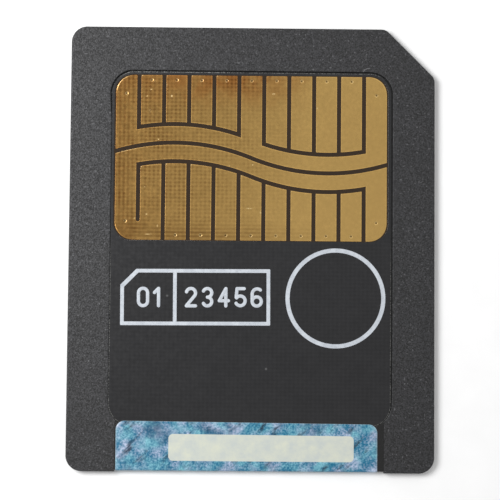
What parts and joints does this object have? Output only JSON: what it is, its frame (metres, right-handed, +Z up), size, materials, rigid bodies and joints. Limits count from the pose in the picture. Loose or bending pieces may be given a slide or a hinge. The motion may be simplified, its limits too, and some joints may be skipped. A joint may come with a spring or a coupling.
{
  "type": "flash memory card",
  "caption": "Thin rectangular flash memory card with one corner cut off, a field of gold contacts and a folded label sticker, lying contact side up.",
  "frame": {"origin": "on the label side, under the centre of the card's outline", "axes": "+X to the right, +Y towards the leading edge with the contacts, +Z up through the contact side"},
  "size_m": [0.037, 0.045, 0.0008],
  "materials": {
    "body_plastic": "dark grey, fine speckled mould texture",
    "bonding_tape": "amber bonding tape",
    "solder_resist": "smooth black solder resist on glass epoxy",
    "copper": "plated copper",
    "die_film": "pale adhesive film",
    "silicon": "polished silicon",
    "gold_wire": "bare gold wire",
    "mould_resin": "black moulded epoxy",
    "gold_plate": "gold-plated foil with the glass weave showing through",
    "white_ink": "screen-printed white ink",
    "label_film": "printed film, icy blue mottle with a blank pale panel"
  },
  "bodies": {
    "root": {"base_card": "body_plastic", "bonding_tape": "bonding_tape", "module_board": "solder_resist", "plated_vias": "copper", "inner_tracks": "copper", "die_attach_film": "die_film", "memory_chip": "silicon", "bond_wires": "gold_wire", "resin_cover": "mould_resin", "upper_band_contact": "gold_plate", "lower_band_contact": "gold_plate", "front_contact_2": "gold_plate", "front_contact_3": "gold_plate", "front_contact_4": "gold_plate", "front_contact_5": "gold_plate", "front_contact_7": "gold_plate", "front_contact_8": "gold_plate", "front_contact_9": "gold_plate", "front_contact_10": "gold_plate", "rear_contact_3": "gold_plate", "rear_contact_4": "gold_plate", "rear_contact_5": "gold_plate", "rear_contact_6": "gold_plate", "rear_contact_7": "gold_plate", "rear_contact_8": "gold_plate", "rear_contact_9": "gold_plate", "rear_contact_10": "gold_plate", "printed_box": "white_ink", "printed_ring": "white_ink", "label_sticker": "label_film"}
  },
  "joints": []
}
